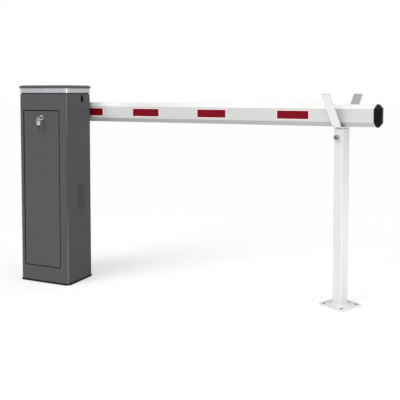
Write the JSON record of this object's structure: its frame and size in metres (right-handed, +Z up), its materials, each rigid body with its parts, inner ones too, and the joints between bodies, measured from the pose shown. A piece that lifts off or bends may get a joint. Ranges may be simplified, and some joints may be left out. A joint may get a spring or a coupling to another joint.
{
  "type": "boom barrier",
  "caption": "Parking boom barrier: steel cabinet with hinged door, lifting octagonal boom with reflective strips and a fork post that holds its tip.",
  "frame": {"origin": "on the ground, at the middle of the cabinet's four anchor holes", "axes": "+X along the closed boom, from cabinet to tip; +Y to the back of the cabinet, where the boom hangs; +Z up"},
  "size_m": [1.797, 0.4176, 1.01],
  "materials": {
    "charcoal_coat": "charcoal powder coat, fine texture, satin",
    "black_coat": "black powder coat, satin",
    "bright_band": "anodised extruded aluminium, satin",
    "white_coat": "white powder coat, smooth",
    "white_aluminium": "white powder-coated extruded aluminium",
    "red_film": "dark red retroreflective film",
    "black_plastic": "moulded black plastic",
    "grey_cast": "grey enamel on cast housings",
    "zinc_steel": "zinc-plated steel",
    "nickel": "nickel-plated brass"
  },
  "bodies": {
    "cabinet": {"base_plate": "black_coat", "left_side": "charcoal_coat", "right_side": "charcoal_coat", "back_panel": "charcoal_coat", "front_frame": "charcoal_coat", "roof_collar": "black_coat", "top_band": "bright_band", "lid": "charcoal_coat", "drive_plate": "zinc_steel", "gearbox": "grey_cast", "motor": "grey_cast", "shaft_bearing": "zinc_steel", "hinge_pins": "zinc_steel", "post_foot": "white_coat", "post_tube": "white_coat", "post_collar": "white_coat", "fork_stem": "white_coat", "fork_cradle": "white_coat", "set_bolt": "zinc_steel"},
    "door": {"door_panel": "charcoal_coat", "lock_cylinder": "nickel", "lock_nut": "nickel", "lock_cam": "zinc_steel", "door_key": "nickel", "key_ring": "nickel", "spare_key": "nickel"},
    "boom": {"main_shaft": "zinc_steel", "boom_carrier": "black_coat", "boom_clamp": "black_coat", "clamp_bolts": "zinc_steel", "boom_tube": "white_aluminium", "tip_cap": "black_plastic", "root_cap": "black_plastic", "front_strips": "red_film", "rear_strips": "red_film"}
  },
  "joints": [
    {"name": "boom_lift", "type": "hinge", "parent": "cabinet", "child": "boom", "pos_m": [0, 0.16, 0.871], "axis": [0, -1, 0], "range_deg": [0, 90]},
    {"name": "door_swing", "type": "hinge", "parent": "cabinet", "child": "door", "pos_m": [-0.112, -0.1005, 0.4835], "axis": [0, 0, -1], "range_deg": [0, 95]}
  ]
}
